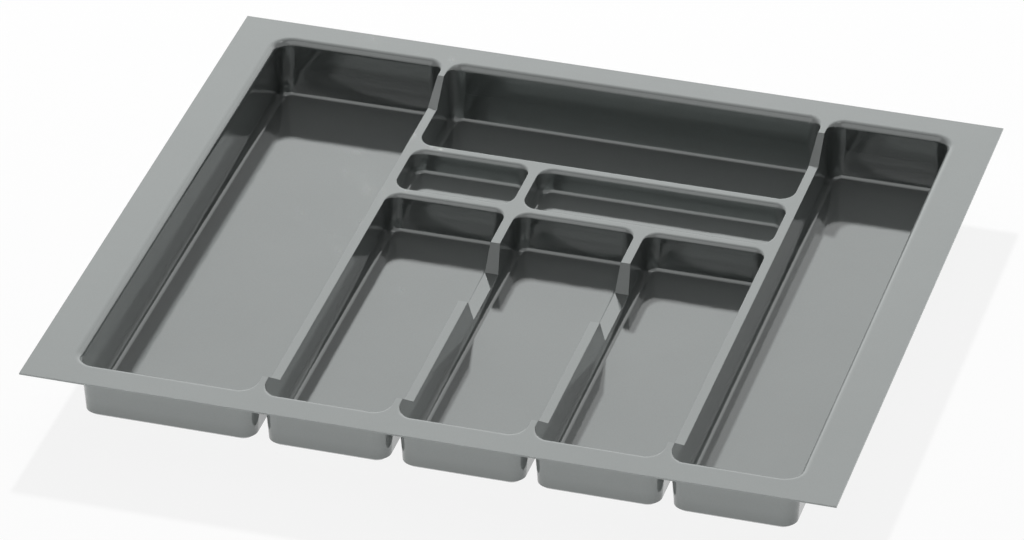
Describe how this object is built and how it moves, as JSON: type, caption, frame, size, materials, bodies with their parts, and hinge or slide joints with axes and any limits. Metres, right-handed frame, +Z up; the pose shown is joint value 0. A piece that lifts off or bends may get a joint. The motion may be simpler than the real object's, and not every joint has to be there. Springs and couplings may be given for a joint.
{
  "type": "cutlery tray",
  "caption": "Shallow one-piece drawer insert with a flat rim, drafted rectangular compartments, low hollow dividers and finger dips, which sorts cutlery and kitchen tools.",
  "frame": {"origin": "below the middle of the tray, on the surface it rests on", "axes": "+X to the right along the long side, +Y to the back of the drawer, +Z up out of the compartments"},
  "size_m": [0.55, 0.48, 0.0427],
  "materials": {
    "grey_plastic": "gloss, finely grained"
  },
  "bodies": {
    "root": {"front_rim": "grey_plastic", "back_rim": "grey_plastic", "left_rim": "grey_plastic", "right_rim": "grey_plastic", "left_divider": "grey_plastic", "right_divider": "grey_plastic", "rear_crossbar": "grey_plastic", "middle_crossbar": "grey_plastic", "small_divider": "grey_plastic", "front_divider_left": "grey_plastic", "front_divider_right": "grey_plastic", "left_compartment_floor": "grey_plastic", "right_compartment_floor": "grey_plastic", "rear_compartment_floor": "grey_plastic", "small_left_compartment_floor": "grey_plastic", "small_right_compartment_floor": "grey_plastic", "front_left_compartment_floor": "grey_plastic", "front_centre_compartment_floor": "grey_plastic", "front_right_compartment_floor": "grey_plastic"}
  },
  "joints": []
}
